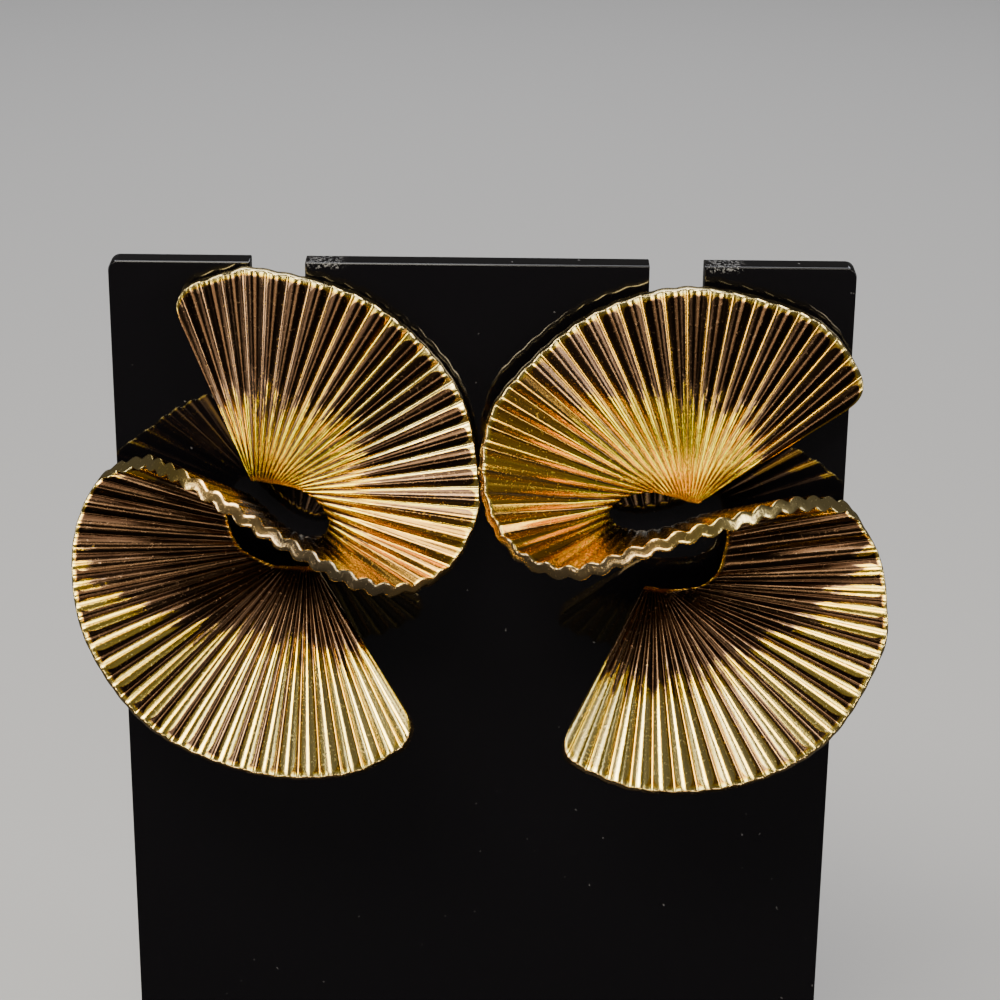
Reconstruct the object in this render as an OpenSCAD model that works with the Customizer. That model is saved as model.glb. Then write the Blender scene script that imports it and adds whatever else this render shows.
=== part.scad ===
// Pair of pleated fan earrings hanging on a notched acrylic display stand.
// Each earring is one fluted ribbon of gold-tone metal bent into an S: an upper fan lies close to the
// panel, the ribbon then turns edge-on across its own hub hole, and a lower fan swings out below it.
// X runs to the right, Y away from the viewer, Z up. The origin is under the middle of the stand.

/* [Display panel] */
// Width of the upright panel
panel_width = 60; // [52:1:90]
// Height of the panel above the base plate
panel_height = 90; // [76:1:130]
// Thickness of the acrylic sheet
panel_thickness = 2; // [1.5:0.5:5]
// Radius of the panel's two top corners
panel_corner = 0.8; // [0.3:0.1:3]

/* [Notches] */
// Width of each notch in the top edge
notch_width = 4.4; // [3:0.1:7]
// Depth of each notch below the top edge
notch_depth = 13; // [9:0.5:18]
// Distance between the centre lines of the two notches
notch_spacing = 32; // [31:0.5:40]
// Sideways shift of the pair of notches from the panel's centre line
notch_shift = -0.4; // [-2:0.1:2]

/* [Base plate] */
// How far the base plate reaches past the panel on each side
base_overhang = 6; // [5:0.5:20]
// Depth of the base plate from front to back
base_depth = 44; // [36:1:80]
// Thickness of the base plate
base_thickness = 3; // [2.5:0.5:8]
// Radius of the base plate's upright corners
base_corner = 3; // [1:0.5:8]
// Depth of the groove that holds the panel
groove_depth = 1.5; // [0.5:0.1:2]
// Clearance round the panel in its groove
groove_clearance = 0.1; // [0.05:0.05:0.4]

/* [Fans] */
// Reach of the longest pleat from hub to rim
fan_reach = 18; // [14:0.5:19]
// Thickness of the metal at the rim
rim_thickness = 0.9; // [0.6:0.1:1.4]
// Thickness of the metal at the hub
hub_thickness = 0.6; // [0.4:0.1:1]
// Half the height of a pleat at the rim
pleat_depth = 0.25; // [0.1:0.05:0.4]
// Radius of the rounded corners where the rim meets an end
end_corner = 2.2; // [1:0.1:4]
// Pleats in the left earring
left_pleats = 70; // [50:1:80]
// Pleats in the right earring
right_pleats = 68; // [50:1:80]
// Gap between the panel and the nearest pleat of a fan
fan_gap = 0.2; // [0.1:0.05:1]
// Drop from the notch floor to the left hub's centre
left_hang = 8; // [6:0.5:10]
// Drop from the notch floor to the right hub's centre
right_hang = 9; // [7:0.5:11]

/* [Clips] */
// Clearance on each side of a clip in its notch
clip_side_clearance = 0.3; // [0.1:0.05:0.6]
// Gap where a clip meets the notch floor, the panel's back and the fan's back
clip_gap = 0.15; // [0.05:0.05:0.3]
// Height of the bar that passes through the notch
bar_height = 3; // [2:0.1:5]
// Width of the paddle behind the panel
paddle_width = 8; // [6:0.5:12]
// Length of the paddle, from the top of the bar down
paddle_length = 15; // [10:0.5:25]
// Thickness of the paddle
paddle_thickness = 1.2; // [0.8:0.1:2.5]

/* [Hidden] */
$fn = 48;

// Mesh of a fan: columns in one pleat, rows from hub to rim, samples of the rim between two stations
columns_per_pleat = 6;
fan_rows = 2;
samples_per_station = 12;
// Share of the rim's pleat height that is left at the hub
hub_pleat_share = 0.3;
// Nearest the hub that the sheet's facing direction is measured, as a share of the reach
facing_share = 0.35;

base_width = panel_width + 2 * base_overhang;
panel_top = base_thickness + panel_height;
notch_floor = panel_top - notch_depth;
left_notch_x = notch_shift - notch_spacing / 2;
right_notch_x = notch_shift + notch_spacing / 2;
// Middle of the sheet where a fan comes nearest to the panel's front face
fan_standoff = fan_gap + rim_thickness / 2 + pleat_depth;
// Hub centres in the XZ plane
left_hub = [left_notch_x, notch_floor - left_hang];
right_hub = [right_notch_x, notch_floor - right_hang];

// Stations along a ribbon, from the end beside the upper fan to the end of the lower fan. Each row gives
// where one pleat starts at the hub edge and where it ends at the rim, measured from the hub's centre and
// from the standoff, all as shares of fan_reach.
// columns: hub side, hub out, hub up, rim side, rim out, rim up
left_stations = [
    [-0.125,  0.080,  0.175,  -0.480,  0.005,  1.045],
    [-0.120,  0.080,  0.175,  -0.235,  0.005,  1.130],
    [-0.100,  0.080,  0.175,  -0.060,  0.005,  1.150],
    [-0.045,  0.080,  0.165,   0.420,  0.000,  1.005],
    [ 0.015,  0.080,  0.155,   0.800,  0.020,  0.615],
    [ 0.100,  0.085,  0.130,   0.910,  0.130,  0.160],
    [ 0.180,  0.090,  0.070,   0.860,  0.215, -0.050],
    [ 0.220,  0.090, -0.010,   0.750,  0.305, -0.180],
    [ 0.210,  0.090, -0.080,   0.560,  0.430, -0.210],
    [ 0.145,  0.090, -0.120,   0.340,  0.530, -0.115],
    [ 0.020,  0.090, -0.065,  -0.035,  0.615,  0.155],
    [-0.125,  0.085,  0.075,  -0.355,  0.485,  0.320],
    [-0.175,  0.085,  0.090,  -0.510,  0.315,  0.325],
    [-0.210,  0.085,  0.070,  -0.625,  0.165,  0.290],
    [-0.240,  0.090,  0.010,  -0.835,  0.060,  0.150],
    [-0.185,  0.105, -0.145,  -0.940,  0.185, -0.135],
    [-0.050,  0.115, -0.225,  -0.860,  0.440, -0.465],
    [ 0.025,  0.115, -0.235,  -0.560,  0.640, -0.800],
    [ 0.090,  0.115, -0.235,  -0.105,  0.705, -0.990],
    [ 0.135,  0.115, -0.235,   0.340,  0.710, -0.990],
    [ 0.165,  0.115, -0.240,   0.665,  0.670, -0.820]
];
right_stations = [
    [ 0.120,  0.080,  0.145,   0.885,  0.040,  0.665],
    [ 0.110,  0.080,  0.145,   0.725,  0.035,  0.920],
    [ 0.105,  0.080,  0.145,   0.505,  0.020,  1.060],
    [ 0.075,  0.080,  0.150,   0.050,  0.030,  1.150],
    [ 0.035,  0.080,  0.165,  -0.390,  0.045,  1.025],
    [-0.035,  0.085,  0.185,  -0.760,  0.095,  0.690],
    [-0.105,  0.085,  0.195,  -0.855,  0.160,  0.470],
    [-0.225,  0.085,  0.165,  -0.855,  0.285,  0.270],
    [-0.285,  0.090,  0.100,  -0.780,  0.395,  0.105],
    [-0.270,  0.090,  0.045,  -0.640,  0.485,  0.005],
    [-0.220,  0.090,  0.005,  -0.425,  0.555, -0.005],
    [-0.115,  0.090, -0.010,  -0.160,  0.595,  0.115],
    [ 0.020,  0.090,  0.020,   0.080,  0.560,  0.190],
    [ 0.140,  0.090,  0.070,   0.290,  0.490,  0.230],
    [ 0.225,  0.085,  0.080,   0.545,  0.315,  0.235],
    [ 0.255,  0.085,  0.010,   0.785,  0.130,  0.150],
    [ 0.250,  0.090, -0.075,   0.890,  0.100,  0.025],
    [ 0.220,  0.100, -0.190,   0.960,  0.140, -0.105],
    [ 0.145,  0.110, -0.260,   0.985,  0.250, -0.270],
    [ 0.050,  0.115, -0.275,   0.955,  0.405, -0.455],
    [-0.010,  0.115, -0.275,   0.705,  0.630, -0.780],
    [-0.035,  0.115, -0.275,   0.320,  0.715, -0.965],
    [-0.075,  0.115, -0.265,  -0.135,  0.730, -0.990],
    [-0.110,  0.115, -0.260,  -0.525,  0.695, -0.840]
];
// Station whose pleat runs up over the clip
left_clip_station = 2;
right_clip_station = 3;

function lerp(a, b, t) = a + (b - a) * t;
function unit(v) = v / norm(v);

// Point of a station at share v from hub (0) to rim (1)
function station_point(row, v) = [
    lerp(row[0], row[3], v) * fan_reach,
    -fan_standoff - lerp(row[1], row[4], v) * fan_reach,
    lerp(row[2], row[5], v) * fan_reach
];

// Catmull-Rom curve through a list of points, with straight-on ends
function before(p, i) = i > 0 ? p[i - 1] : 2 * p[0] - p[1];
function after(p, i) = i < len(p) - 1 ? p[i + 1] : 2 * p[i] - p[i - 1];
function curve_at(p, u) =
    let (i = min(floor(u), len(p) - 2), t = u - i,
         a = before(p, i), b = p[i], c = p[i + 1], d = after(p, i + 1))
    b + t * (c - a) / 2 + t * t * (a - 2.5 * b + 2 * c - d / 2) + t * t * t * (3 * (b - c) + d - a) / 2;
function curve_along(p, u) =
    let (step = 0.01, lo = max(u - step, 0), hi = min(u + step, len(p) - 1))
    curve_at(p, hi) - curve_at(p, lo);

// Pairs of rim length and station number, from the first end to the last
function rim_lengths(rim) =
    let (count = (len(rim) - 1) * samples_per_station)
    [for (k = 0, run = 0; k <= count;
          k = k + 1,
          run = run + (k <= count ? norm(curve_at(rim, k / samples_per_station)
                                         - curve_at(rim, (k - 1) / samples_per_station)) : 0))
        [run, k / samples_per_station]];

// How far an outer corner's round cuts back from the rim, at length s from that end
function corner_cut(s) =
    s >= end_corner ? 0 : end_corner - sqrt(end_corner * end_corner - pow(end_corner - s, 2));

// Heights of the two faces over the middle of the sheet: wide round ridges with narrow furrows
function front_height(turn, thick, deep) = thick / 2 + deep * (2 * abs(cos(turn / 2)) - 1);
function back_height(turn, thick, deep) = -thick / 2 - deep * (2 * abs(sin(turn / 2)) - 1);

// One fluted ribbon as a closed mesh through its stations
module ribbon(stations, pleats) {
    hub = [for (row = stations) station_point(row, 0)];
    rim = [for (row = stations) station_point(row, 1)];
    lengths = rim_lengths(rim);
    rim_length = lengths[len(lengths) - 1][0];
    columns = pleats * columns_per_pleat;
    faces_up = [for (k = [0 : columns])
        let (s = rim_length * k / columns,
             u = lookup(s, lengths),
             from = curve_at(hub, u),
             to = curve_at(rim, u),
             reach = norm(to - from),
             end = 1 - corner_cut(min(s, rim_length - s)) / reach,
             along_hub = curve_along(hub, u),
             along_rim = curve_along(rim, u),
             turn = 360 * k / columns_per_pleat)
        [for (row = [0 : fan_rows])
            let (v = end * row / fan_rows,
                 facing = unit(cross(lerp(along_hub, along_rim, max(v, facing_share)), to - from)),
                 thick = lerp(hub_thickness, rim_thickness, v),
                 deep = pleat_depth * lerp(hub_pleat_share, 1, v),
                 middle = lerp(from, to, v))
            [middle + facing * front_height(turn, thick, deep),
             middle + facing * back_height(turn, thick, deep)]]];
    stride = 2 * (fan_rows + 1);
    points = [for (column = faces_up) for (pair = column) each pair];
    // Corners of the cell between columns k and k + 1 on row r: even numbers lie on the front face
    function corner(k, r, face) = k * stride + 2 * r + face;
    front = [for (k = [0 : columns - 1]) for (r = [0 : fan_rows - 1])
        each [[corner(k, r, 0), corner(k, r + 1, 0), corner(k + 1, r + 1, 0)],
              [corner(k, r, 0), corner(k + 1, r + 1, 0), corner(k + 1, r, 0)]]];
    back = [for (k = [0 : columns - 1]) for (r = [0 : fan_rows - 1])
        each [[corner(k, r, 1), corner(k + 1, r + 1, 1), corner(k, r + 1, 1)],
              [corner(k, r, 1), corner(k + 1, r, 1), corner(k + 1, r + 1, 1)]]];
    hub_wall = [for (k = [0 : columns - 1])
        each [[corner(k, 0, 0), corner(k + 1, 0, 0), corner(k + 1, 0, 1)],
              [corner(k, 0, 0), corner(k + 1, 0, 1), corner(k, 0, 1)]]];
    rim_wall = [for (k = [0 : columns - 1])
        each [[corner(k, fan_rows, 0), corner(k + 1, fan_rows, 1), corner(k + 1, fan_rows, 0)],
              [corner(k, fan_rows, 0), corner(k, fan_rows, 1), corner(k + 1, fan_rows, 1)]]];
    first_end = [for (r = [0 : fan_rows - 1])
        each [[corner(0, r, 0), corner(0, r, 1), corner(0, r + 1, 1)],
              [corner(0, r, 0), corner(0, r + 1, 1), corner(0, r + 1, 0)]]];
    last_end = [for (r = [0 : fan_rows - 1])
        each [[corner(columns, r, 0), corner(columns, r + 1, 1), corner(columns, r, 1)],
              [corner(columns, r, 0), corner(columns, r + 1, 0), corner(columns, r + 1, 1)]]];
    polyhedron(points, concat(front, back, hub_wall, rim_wall, first_end, last_end), convexity = 12);
}

// Flat plate in the XY plane whose four corners are round
module rounded_plate(size, corner, height) {
    linear_extrude(height) {
        square([size[0] - 2 * corner, size[1]], center = true);
        square([size[0], size[1] - 2 * corner], center = true);
        for (x = [-1, 1]) for (y = [-1, 1])
            translate([x * (size[0] / 2 - corner), y * (size[1] / 2 - corner)]) circle(corner);
    }
}

module stand_base() {
    groove_width = panel_thickness + 2 * groove_clearance;
    groove_length = panel_width + 2 * groove_clearance;
    color([0.05, 0.05, 0.055])
    difference() {
        rounded_plate([base_width, base_depth], base_corner, base_thickness);
        translate([-groove_length / 2, -groove_clearance, base_thickness - groove_depth])
            cube([groove_length, groove_width, base_thickness]);
    }
}

// Outline of the panel in the XZ plane, with its foot in the groove and two notches in its top edge
module panel_outline(foot) {
    difference() {
        union() {
            translate([-panel_width / 2, foot]) square([panel_width, panel_top - panel_corner - foot]);
            translate([-panel_width / 2 + panel_corner, foot])
                square([panel_width - 2 * panel_corner, panel_top - foot]);
            for (side = [-1, 1])
                translate([side * (panel_width / 2 - panel_corner), panel_top - panel_corner])
                    circle(panel_corner);
        }
        for (x = [left_notch_x, right_notch_x])
            translate([x - notch_width / 2, notch_floor]) square([notch_width, 2 * notch_depth]);
    }
}

module stand_panel() {
    foot = base_thickness - groove_depth + groove_clearance;
    color([0.02, 0.02, 0.025])
    translate([0, panel_thickness, 0]) rotate([90, 0, 0])
        linear_extrude(panel_thickness) panel_outline(foot);
}

module fan(stations, pleats, hub) {
    color([0.83, 0.66, 0.33])
    translate([hub[0], 0, hub[1]]) ribbon(stations, pleats);
}

// Depth of the middle of the sheet before the panel, at height up over the hub's centre
function sheet_depth(row, up) =
    let (low = station_point(row, 0), high = station_point(row, 1),
         v = (up - low[2]) / (high[2] - low[2]))
    -lerp(low[1], high[1], v);

// One plain clip: a bar through the notch whose front end meets the fan's back, and an oval paddle
// that hangs down behind the panel
module clip(row, notch_x, hang) {
    bar_top = bar_height + clip_gap;
    bar_width = notch_width - 2 * clip_side_clearance;
    front = sheet_depth(row, hang + bar_top) - rim_thickness / 2 - pleat_depth - clip_gap;
    paddle_face = panel_thickness + clip_gap;
    color([0.78, 0.62, 0.31])
    translate([notch_x, 0, notch_floor]) {
        translate([-bar_width / 2, -front, clip_gap])
            cube([bar_width, front + paddle_face + paddle_thickness / 2, bar_height]);
        translate([0, paddle_face + paddle_thickness, bar_top]) rotate([90, 0, 0])
            linear_extrude(paddle_thickness) {
                translate([-paddle_width / 2, paddle_width / 2 - paddle_length])
                    square([paddle_width, paddle_length - paddle_width]);
                for (end = [-paddle_width / 2, paddle_width / 2 - paddle_length])
                    translate([0, end]) circle(paddle_width / 2);
            }
    }
}

module left_fan() {
    fan(left_stations, left_pleats, left_hub);
}

module right_fan() {
    fan(right_stations, right_pleats, right_hub);
}

module left_clip() {
    clip(left_stations[left_clip_station], left_notch_x, left_hang);
}

module right_clip() {
    clip(right_stations[right_clip_station], right_notch_x, right_hang);
}

stand_base();
stand_panel();
left_fan();
left_clip();
right_fan();
right_clip();
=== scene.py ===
"""Looks of a pair of pleated fan earrings on a notched acrylic stand.

Each earring is one fluted ribbon bent into an S. The ribbon is laid out as a flat grid, wrapped into a
closed section and bent through the same stations as the solid that it stands for.
"""

import logging
import math
from dataclasses import dataclass, field
from enum import Enum

import bmesh
import bpy
from mathutils import Matrix, Vector


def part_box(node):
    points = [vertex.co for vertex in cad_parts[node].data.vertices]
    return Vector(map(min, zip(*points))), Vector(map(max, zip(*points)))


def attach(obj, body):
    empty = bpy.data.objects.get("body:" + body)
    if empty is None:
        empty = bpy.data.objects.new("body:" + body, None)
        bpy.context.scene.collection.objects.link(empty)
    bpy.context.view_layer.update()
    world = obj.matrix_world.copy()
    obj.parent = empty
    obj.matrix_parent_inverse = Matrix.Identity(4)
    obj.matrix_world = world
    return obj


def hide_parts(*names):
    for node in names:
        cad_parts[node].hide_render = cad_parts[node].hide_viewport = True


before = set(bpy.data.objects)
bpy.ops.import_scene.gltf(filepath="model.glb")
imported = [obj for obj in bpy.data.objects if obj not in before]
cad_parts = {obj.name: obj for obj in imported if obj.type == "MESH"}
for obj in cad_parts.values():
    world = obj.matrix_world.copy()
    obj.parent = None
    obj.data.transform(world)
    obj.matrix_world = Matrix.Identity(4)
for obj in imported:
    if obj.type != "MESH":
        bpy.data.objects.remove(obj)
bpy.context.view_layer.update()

log = logging.getLogger("earrings")

MM = 0.001
PANEL_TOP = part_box("stand_panel")[1].z

# One station: hub side, hub out, hub up, rim side, rim out, rim up, as shares of the reach
Station = tuple[float, float, float, float, float, float]
Triple = tuple[float, float, float]
# One row of the painted reflection tones: share of the rim, reach of the limit between the zone beside the
# hub and the zone beside the rim, then the tones of ridge inner, ridge outer, furrow inner, furrow outer and
# rim wall;
# low tones paint dark reflections, high tones paint highlights
ReflectionToneRow = tuple[float, float, float, float, float, float, float]
Colour = tuple[float, float, float, float]
# Place and colour of one stop of a ramp
ColourStop = tuple[float, Triple]
# A value where something starts and a value where it is complete
Span = tuple[float, float]
Socket = bpy.types.NodeSocket
Piece = bpy.types.Object

LEFT_STATIONS: tuple[Station, ...] = (
    (-0.125, 0.080, 0.175, -0.480, 0.005, 1.045),
    (-0.120, 0.080, 0.175, -0.235, 0.005, 1.130),
    (-0.100, 0.080, 0.175, -0.060, 0.005, 1.150),
    (-0.045, 0.080, 0.165, 0.420, 0.000, 1.005),
    (0.015, 0.080, 0.155, 0.800, 0.020, 0.615),
    (0.100, 0.085, 0.130, 0.910, 0.130, 0.160),
    (0.180, 0.090, 0.070, 0.860, 0.215, -0.050),
    (0.220, 0.090, -0.010, 0.750, 0.305, -0.180),
    (0.210, 0.090, -0.080, 0.560, 0.430, -0.210),
    (0.145, 0.090, -0.120, 0.340, 0.530, -0.115),
    (0.020, 0.090, -0.065, -0.035, 0.615, 0.155),
    (-0.125, 0.085, 0.075, -0.355, 0.485, 0.320),
    (-0.175, 0.085, 0.090, -0.510, 0.315, 0.325),
    (-0.210, 0.085, 0.070, -0.625, 0.165, 0.290),
    (-0.240, 0.090, 0.010, -0.835, 0.060, 0.150),
    (-0.185, 0.105, -0.145, -0.940, 0.185, -0.135),
    (-0.050, 0.115, -0.225, -0.860, 0.440, -0.465),
    (0.025, 0.115, -0.235, -0.560, 0.640, -0.800),
    (0.090, 0.115, -0.235, -0.105, 0.705, -0.990),
    (0.135, 0.115, -0.235, 0.340, 0.710, -0.990),
    (0.165, 0.115, -0.240, 0.665, 0.670, -0.820),
)
RIGHT_STATIONS: tuple[Station, ...] = (
    (0.120, 0.080, 0.145, 0.885, 0.040, 0.665),
    (0.110, 0.080, 0.145, 0.725, 0.035, 0.920),
    (0.105, 0.080, 0.145, 0.505, 0.020, 1.060),
    (0.075, 0.080, 0.150, 0.050, 0.030, 1.150),
    (0.035, 0.080, 0.165, -0.390, 0.045, 1.025),
    (-0.035, 0.085, 0.185, -0.760, 0.095, 0.690),
    (-0.105, 0.085, 0.195, -0.855, 0.160, 0.470),
    (-0.225, 0.085, 0.165, -0.855, 0.285, 0.270),
    (-0.285, 0.090, 0.100, -0.780, 0.395, 0.105),
    (-0.270, 0.090, 0.045, -0.640, 0.485, 0.005),
    (-0.220, 0.090, 0.005, -0.425, 0.555, -0.005),
    (-0.115, 0.090, -0.010, -0.160, 0.595, 0.115),
    (0.020, 0.090, 0.020, 0.080, 0.560, 0.190),
    (0.140, 0.090, 0.070, 0.290, 0.490, 0.230),
    (0.225, 0.085, 0.080, 0.545, 0.315, 0.235),
    (0.255, 0.085, 0.010, 0.785, 0.130, 0.150),
    (0.250, 0.090, -0.075, 0.890, 0.100, 0.025),
    (0.220, 0.100, -0.190, 0.960, 0.140, -0.105),
    (0.145, 0.110, -0.260, 0.985, 0.250, -0.270),
    (0.050, 0.115, -0.275, 0.955, 0.405, -0.455),
    (-0.010, 0.115, -0.275, 0.705, 0.630, -0.780),
    (-0.035, 0.115, -0.275, 0.320, 0.715, -0.965),
    (-0.075, 0.115, -0.265, -0.135, 0.730, -0.990),
    (-0.110, 0.115, -0.260, -0.525, 0.695, -0.840),
)

# Painted reflections of each earring along its rim: low tones are painted dark reflections, high tones
# painted highlights
LEFT_REFLECTION_TONES: tuple[ReflectionToneRow, ...] = (
    (0.00, 0.40, 0.62, 0.16, 0.30, 0.30, 1.00),
    (0.10, 0.40, 0.68, 0.13, 0.32, 0.38, 1.00),
    (0.20, 0.42, 0.70, 0.12, 0.34, 1.00, 1.00),
    (0.26, 0.36, 0.68, 0.18, 0.32, 1.00, 0.95),
    (0.31, 0.30, 0.60, 0.46, 0.28, 0.66, 0.60),
    (0.37, 0.30, 0.50, 0.46, 0.22, 0.48, 0.50),
    (0.42, 0.30, 0.26, 0.41, 0.14, 0.26, 0.28),
    (0.50, 0.30, 0.32, 0.42, 0.14, 0.26, 0.45),
    (0.58, 0.40, 0.34, 0.38, 0.12, 0.24, 0.95),
    (0.63, 1.15, 0.15, 0.80, 0.06, 0.10, 1.00),
    (0.70, 0.94, 0.17, 0.85, 0.06, 0.10, 0.90),
    (0.75, 0.60, 0.17, 0.85, 0.10, 0.12, 0.70),
    (0.82, 0.42, 0.16, 0.88, 0.08, 0.12, 0.60),
    (0.92, 0.40, 0.20, 1.00, 0.10, 0.46, 0.60),
    (1.00, 0.54, 0.22, 0.96, 0.16, 0.70, 0.60),
)
RIGHT_REFLECTION_TONES: tuple[ReflectionToneRow, ...] = (
    (0.00, 0.36, 0.66, 0.14, 0.34, 0.60, 1.00),
    (0.08, 0.42, 0.74, 0.14, 0.42, 0.46, 1.00),
    (0.18, 0.50, 0.74, 0.15, 0.42, 0.50, 1.00),
    (0.26, 0.62, 0.68, 0.38, 0.36, 0.50, 0.95),
    (0.32, 0.45, 0.66, 0.62, 0.36, 0.42, 0.60),
    (0.40, 0.30, 0.50, 0.56, 0.30, 0.42, 0.45),
    (0.46, 0.30, 0.32, 0.57, 0.16, 0.50, 0.35),
    (0.54, 0.30, 0.34, 0.46, 0.14, 0.34, 0.90),
    (0.60, 0.40, 0.34, 0.38, 0.12, 0.24, 1.00),
    (0.65, 1.10, 0.15, 0.80, 0.06, 0.10, 1.00),
    (0.72, 0.70, 0.17, 0.85, 0.06, 0.10, 0.90),
    (0.78, 0.51, 0.18, 0.85, 0.08, 0.12, 0.80),
    (0.86, 0.46, 0.20, 0.98, 0.10, 0.38, 0.60),
    (1.00, 0.52, 0.20, 1.00, 0.14, 0.70, 0.60),
)

# Painted highlight of bright gold beside the hub, and at that zone's margin; the left earring's is a little
# warmer
LEFT_HUB_HIGHLIGHT: tuple[Colour, Colour] = ((0.92, 0.71, 0.012, 1.0), (0.93, 0.61, 0.012, 1.0))
RIGHT_HUB_HIGHLIGHT: tuple[Colour, Colour] = ((0.92, 0.75, 0.012, 1.0), (0.93, 0.65, 0.012, 1.0))

# Marks of the section's points that lie off the pleat's length: the hub's round edge and the rim's wall
HUB_MIDDLE = -1.0
HUB_CORNER = -0.5
RIM_WALL = 2.0

# Attributes of a ribbon's mesh, read by its plating; the two vectors carry the painted reflection tones
NUMBER_MARKS = ("pleat", "reach", "surface")
VECTOR_MARKS = ("ridge_reflection_tone", "furrow_reflection_tone")

SHARP_ANGLE = math.radians(40)
EDGE_STEPS = 3
CUTTER_OVERRUN = 5 * MM


class Side(Enum):
    """Which earring of the pair."""

    LEFT = "left"
    RIGHT = "right"


class Surface(Enum):
    """Stretches of a ribbon's closed section."""

    FRONT = 1.0
    WALL = 0.5
    BACK = 0.0


class Join(Enum):
    """How one block acts on another."""

    CUT = "DIFFERENCE"
    ADD = "UNION"


class Mix(Enum):
    """What a mix node mixes: its type, its first and second input and its output."""

    NUMBERS = ("FLOAT", 2, 3, 0)
    COLOURS = ("RGBA", 6, 7, 2)


# Small shared tools


def deselect() -> None:
    """Leave object mode and clear the selection."""
    if bpy.context.object and bpy.context.object.mode != "OBJECT":
        bpy.ops.object.mode_set(mode="OBJECT")
    bpy.ops.object.select_all(action="DESELECT")


def make_active(piece: Piece) -> None:
    """Select one piece alone and make it the active one.

    Args:
        piece: The object to work on.
    """
    deselect()
    piece.select_set(True)
    bpy.context.view_layer.objects.active = piece


def block(name: str, low: Vector, high: Vector) -> Piece:
    """Add a box that fills the space between two corners.

    Args:
        name: Name of the new object.
        low: Lowest corner.
        high: Highest corner.

    Returns:
        The box, settled at the origin.
    """
    deselect()
    bpy.ops.mesh.primitive_cube_add(size=1.0, location=(low + high) / 2)
    piece = bpy.context.object
    piece.name = name
    piece.scale = high - low
    make_active(piece)
    bpy.ops.object.transform_apply(location=True, rotation=True, scale=True)
    return piece


def apply_modifier(piece: Piece, kind: str, **settings: object) -> None:
    """Add one modifier, set it and apply it.

    Args:
        piece: The object to change.
        kind: Modifier type.
        settings: Values of the modifier's own settings.
    """
    make_active(piece)
    modifier = piece.modifiers.new(kind.title(), kind)
    for key, value in settings.items():
        setattr(modifier, key, value)
    bpy.ops.object.modifier_apply(modifier=modifier.name)


def combine(piece: Piece, tool: Piece, how: Join) -> None:
    """Cut a piece with a tool, or add the tool to it, and remove the tool."""
    apply_modifier(piece, "BOOLEAN", operation=how.value, object=tool, solver="EXACT")
    bpy.data.objects.remove(tool, do_unlink=True)


def round_edges(piece: Piece, width: float) -> None:
    """Round every sharp edge a little and shade the piece smooth.

    Args:
        piece: The object to finish.
        width: Width of the rounding.
    """
    apply_modifier(
        piece, "BEVEL", width=width, segments=EDGE_STEPS, limit_method="ANGLE", angle_limit=SHARP_ANGLE
    )
    make_active(piece)
    bpy.ops.object.shade_smooth()
    apply_modifier(piece, "WEIGHTED_NORMAL", mode="FACE_AREA", weight=100)


def round_corners(piece: Piece, axis: int, radius: float, segments: int = 12) -> None:
    """Round the four long corners of a box that run along one axis.

    Args:
        piece: The box.
        axis: Axis that the corners run along.
        radius: Radius of the corners.
        segments: Steps across each corner.
    """
    make_active(piece)
    bpy.ops.object.mode_set(mode="EDIT")
    bpy.ops.mesh.select_mode(type="EDGE")
    bpy.ops.mesh.select_all(action="DESELECT")
    sheet = bmesh.from_edit_mesh(piece.data)
    nearly_straight = 0.99
    for edge in sheet.edges:
        run = edge.verts[1].co - edge.verts[0].co
        edge.select_set(abs(run[axis]) > nearly_straight * run.length)
    bmesh.update_edit_mesh(piece.data)
    bpy.ops.mesh.bevel(offset=radius, offset_type="OFFSET", segments=segments, affect="EDGES")
    bpy.ops.object.mode_set(mode="OBJECT")


def between(a: float, b: float, t: float) -> float:
    """Return the value a share t of the way from a to b."""
    return a + (b - a) * t


# Finishes


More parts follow.
